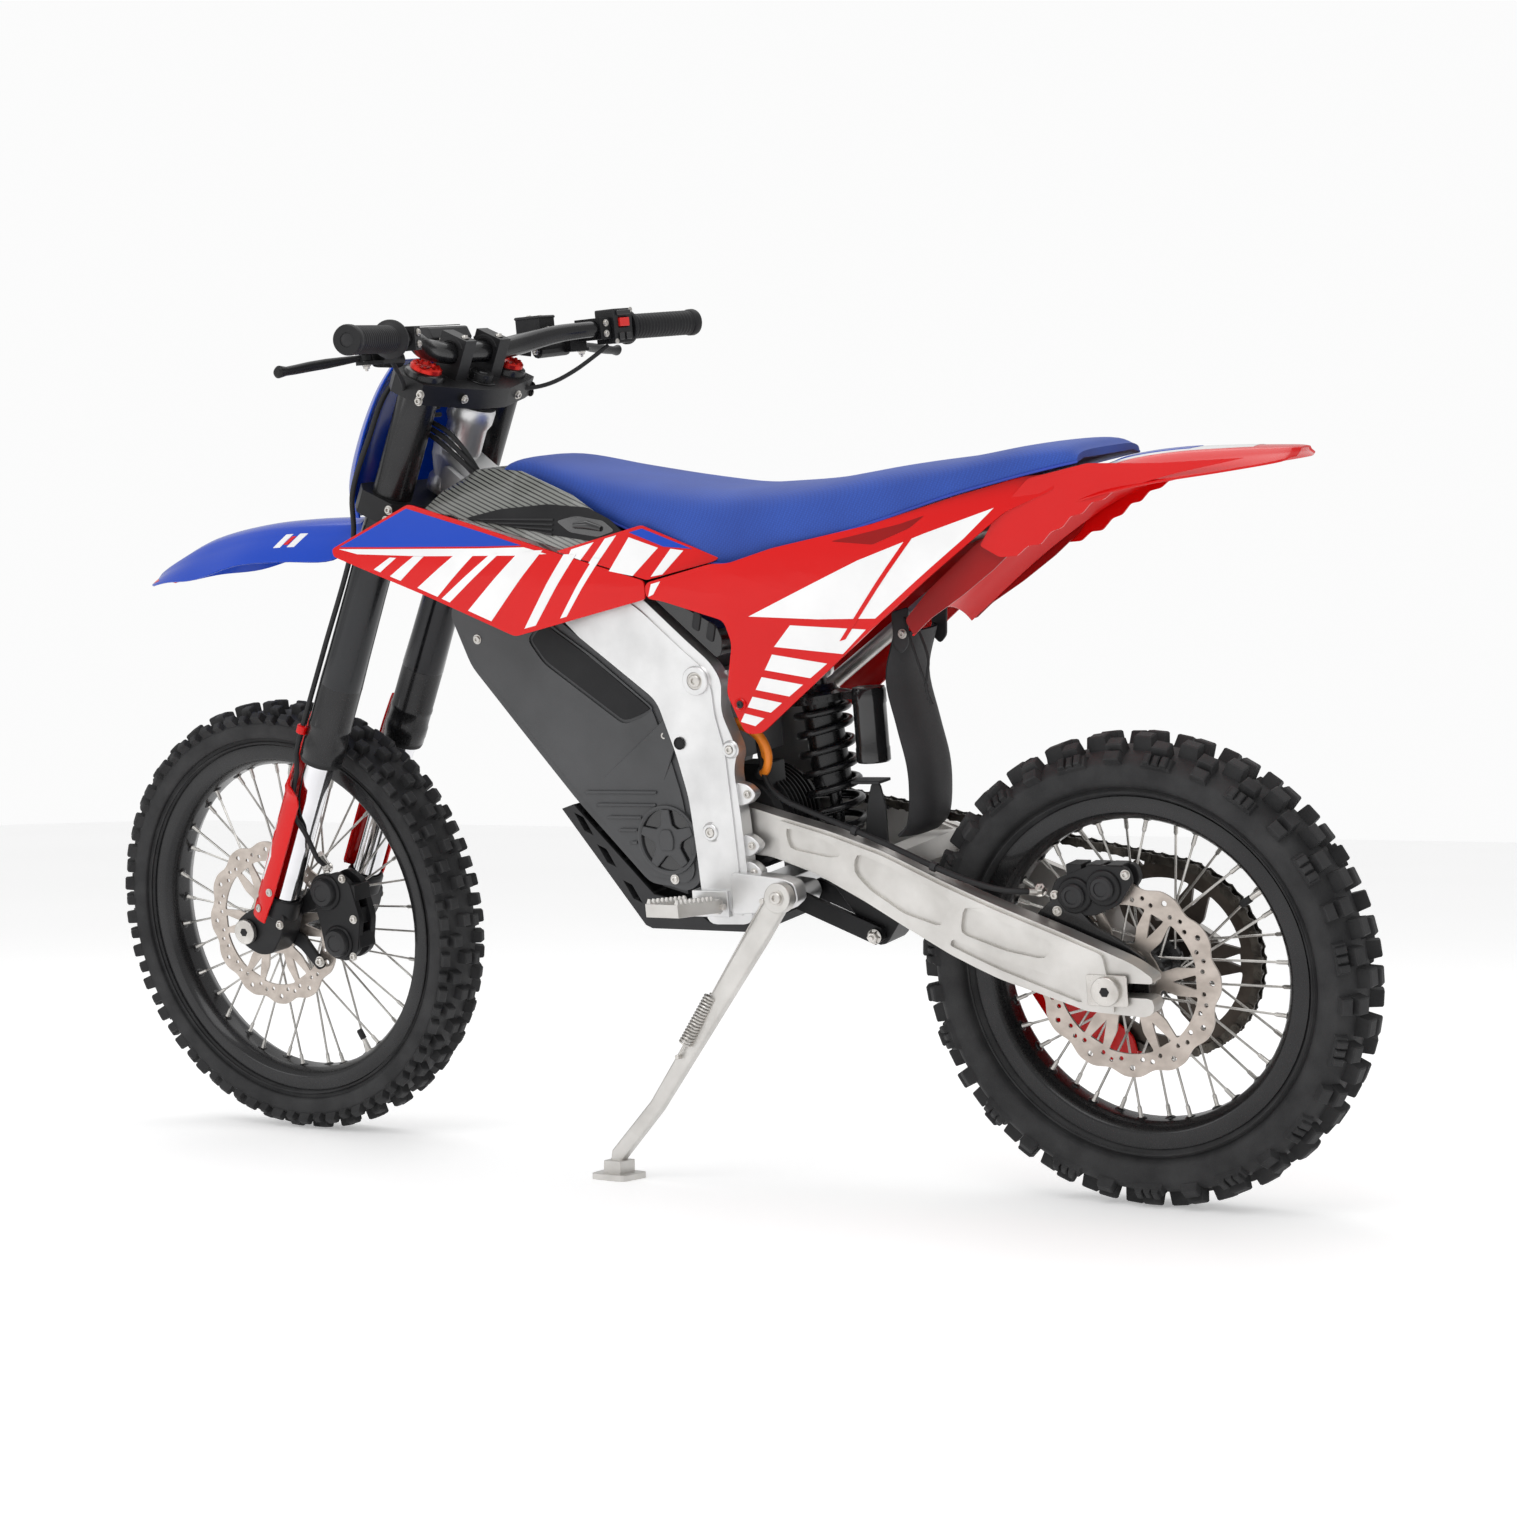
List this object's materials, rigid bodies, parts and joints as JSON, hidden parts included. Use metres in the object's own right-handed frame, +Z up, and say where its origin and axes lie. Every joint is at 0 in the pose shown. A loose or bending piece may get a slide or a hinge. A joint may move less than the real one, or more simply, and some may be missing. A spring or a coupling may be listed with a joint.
{
  "type": "electric dirt motorcycle",
  "caption": "Ride-on electric off-road motorcycle with tall wheels, upside-down fork, link-mounted rear shock, battery case in a twin-spar frame, leaning on its side stand",
  "frame": {"origin": "middle of the bounding box, on the ground that the tyres and side stand rest on", "axes": "forward is -Y, up is +Z, the rider's left is +X; the machine leans 9.2 degrees towards +X onto its side stand"},
  "size_m": [0.782, 1.9426, 1.1923],
  "materials": {
    "black_metal": "black anodised or painted metal",
    "black_plastic": "black matte plastic",
    "blasted_aluminium": "bead-blasted aluminium",
    "blue_plastic": "glossy blue moulded plastic",
    "carbon_panel": "grey striped glossy panel",
    "cast_aluminium": "light silver cast aluminium",
    "chrome": "bright chrome",
    "dark_case": "dark grey ribbed case",
    "dark_steel": "dark oiled steel",
    "orange_cable": "orange cable sheath",
    "red_button": "red button",
    "red_plastic": "glossy red moulded plastic",
    "rubber": "black rubber",
    "seat_fabric": "blue grained seat cover",
    "steel": "bare steel",
    "tyre": "black knobby tyre rubber"
  },
  "bodies": {
    "chassis": {"battery_case": "dark_case", "battery_cover": "dark_case", "frame": "cast_aluminium", "motor": "black_metal", "mud_flap": "rubber", "phase_cable": "orange_cable", "rear_fender": "red_plastic", "seat": "seat_fabric", "shroud_left": "red_plastic", "shroud_right": "red_plastic", "side_panel_left": "red_plastic", "side_panel_right": "red_plastic", "skid_plate": "black_plastic", "subframe": "blasted_aluminium", "top_panel": "carbon_panel"},
    "steering": {"display": "black_plastic", "fork_outer_left": "black_metal", "fork_outer_right": "black_metal", "front_fender": "blue_plastic", "handlebar": "black_metal", "left_grip": "rubber", "left_perch": "black_metal", "number_plate": "blue_plastic", "right_perch": "black_metal", "switch_housing": "black_plastic", "triple_clamp": "black_metal"},
    "fork_lower": {"fork_guard_left": "red_plastic", "fork_guard_right": "red_plastic", "fork_inner_left": "chrome", "fork_inner_right": "chrome", "front_axle": "steel", "front_caliper": "black_metal", "front_hose": "rubber"},
    "front_wheel": {"front_disc": "steel", "front_hub": "steel", "front_rim": "black_metal", "front_tyre": "tyre"},
    "throttle": {"throttle_grip": "rubber"},
    "kill_button": {"kill_button": "red_button"},
    "lever_left": {"left_lever": "black_metal"},
    "lever_right": {"right_lever": "black_metal"},
    "swingarm": {"chain": "dark_steel", "rear_axle": "steel", "rear_caliper": "black_metal", "rear_hose": "rubber", "swingarm": "blasted_aluminium"},
    "rear_wheel": {"rear_disc": "steel", "rear_hub": "steel", "rear_rim": "black_metal", "rear_sprocket": "dark_steel", "rear_tyre": "tyre"},
    "motor_sprocket": {"motor_sprocket": "dark_steel"},
    "shock_upper": {"shock_body": "black_metal", "shock_spring": "black_metal"},
    "shock_lower": {"shock_shaft": "black_metal"},
    "rocker": {"rocker": "black_metal"},
    "link_rod": {"link_rod": "black_metal"},
    "kickstand": {"kickstand": "blasted_aluminium"},
    "footpeg_left": {"footpeg_left": "steel"},
    "footpeg_right": {"footpeg_right": "steel"}
  },
  "joints": [
    {"name": "steering_turn", "type": "hinge", "parent": "chassis", "child": "steering", "pos_m": [-0.02486, -0.28054, 0.95819], "axis": [0.1445, 0.4336, 0.8894], "range_deg": [-40, 40]},
    {"name": "fork_slide", "type": "slide", "parent": "steering", "child": "fork_lower", "axis": [0.1445, 0.4336, 0.8894], "range_m": [0, 0.19], "stiffness_N_per_m": 9000, "springref_m": -0.06, "deforming": ["front_hose"]},
    {"name": "front_wheel_spin", "type": "hinge", "parent": "fork_lower", "child": "front_wheel", "pos_m": [-0.12937, -0.65531, 0.31465], "axis": [0.9871, 0, -0.1603], "continuous": true},
    {"name": "throttle_twist", "type": "hinge", "parent": "steering", "child": "throttle", "pos_m": [-0.25872, -0.16819, 1.15277], "axis": [-0.9532, 0.2563, 0.1602], "range_deg": [0, 75], "stiffness_Nm_per_rad": 0.2, "springref_deg": -17.19},
    {"name": "kill_button_press", "type": "slide", "parent": "steering", "child": "kill_button", "axis": [-0.253, -0.9666, 0.0411], "range_m": [0, 0.0015], "stiffness_N_per_m": 400, "springref_m": -0.001},
    {"name": "left_lever_pull", "type": "hinge", "parent": "steering", "child": "lever_left", "pos_m": [0.23372, -0.23031, 1.05322], "axis": [0.1603, 0, 0.9871], "range_deg": [0, 20], "stiffness_Nm_per_rad": 1, "springref_deg": -22.92},
    {"name": "right_lever_pull", "type": "hinge", "parent": "steering", "child": "lever_right", "pos_m": [-0.24007, -0.23031, 1.13017], "axis": [-0.1603, 0, -0.9871], "range_deg": [0, 20], "stiffness_Nm_per_rad": 1, "springref_deg": -22.92},
    {"name": "swingarm_swing", "type": "hinge", "parent": "chassis", "child": "swingarm", "pos_m": [-0.10385, 0.15769, 0.47182], "axis": [0.9871, 0, -0.1603], "range_deg": [0, 14], "stiffness_Nm_per_rad": 1800, "springref_deg": -14.32, "deforming": ["mud_flap"]},
    {"name": "rear_wheel_spin", "type": "hinge", "parent": "swingarm", "child": "rear_wheel", "pos_m": [-0.13338, 0.68069, 0.28997], "axis": [0.9871, 0, -0.1603], "continuous": true},
    {"name": "motor_sprocket_spin", "type": "hinge", "parent": "swingarm", "child": "motor_sprocket", "pos_m": [-0.10385, 0.15769, 0.47182], "axis": [0.9871, 0, -0.1603], "continuous": true},
    {"name": "shock_swing", "type": "hinge", "parent": "chassis", "child": "shock_upper", "pos_m": [-0.07387, 0.25269, 0.6564], "axis": [0.9871, 0, -0.1603], "range_deg": [0, 6.9]},
    {"name": "shock_slide", "type": "slide", "parent": "shock_upper", "child": "shock_lower", "axis": [0.1597, -0.0843, 0.9836], "range_m": [0, 0.0655], "deforming": ["shock_spring"]},
    {"name": "rocker_swing", "type": "hinge", "parent": "swingarm", "child": "rocker", "pos_m": [-0.11827, 0.37469, 0.38298], "axis": [0.9871, 0, -0.1603], "range_deg": [-20.5, 0]},
    {"name": "link_rod_swing", "type": "hinge", "parent": "chassis", "child": "link_rod", "pos_m": [-0.1202, 0.21069, 0.37114], "axis": [0.9871, 0, -0.1603], "range_deg": [0, 27.6]},
    {"name": "kickstand_fold", "type": "hinge", "parent": "chassis", "child": "kickstand", "pos_m": [0.01856, 0.25569, 0.37089], "axis": [0.9995, -0.024, -0.0215], "range_deg": [0, 100]},
    {"name": "footpeg_left_fold", "type": "hinge", "parent": "chassis", "child": "footpeg_left", "pos_m": [0.01631, 0.14269, 0.35707], "axis": [0, -1, 0], "range_deg": [0, 50], "stiffness_Nm_per_rad": 1, "springref_deg": -34.38},
    {"name": "footpeg_right_fold", "type": "hinge", "parent": "chassis", "child": "footpeg_right", "pos_m": [-0.25414, 0.14269, 0.401], "axis": [0, 1, 0], "range_deg": [0, 50], "stiffness_Nm_per_rad": 1, "springref_deg": -34.38}
  ],
  "couplings": [
    {"joint": "motor_sprocket_spin", "follows": "rear_wheel_spin", "ratio": 3.6923},
    {"joint": "shock_swing", "follows": "swingarm_swing", "ratio": 0.4787},
    {"joint": "shock_slide", "follows": "swingarm_swing", "m_per_rad": 0.25563},
    {"joint": "rocker_swing", "follows": "swingarm_swing", "ratio": -1.4418},
    {"joint": "link_rod_swing", "follows": "swingarm_swing", "ratio": 1.9504}
  ]
}
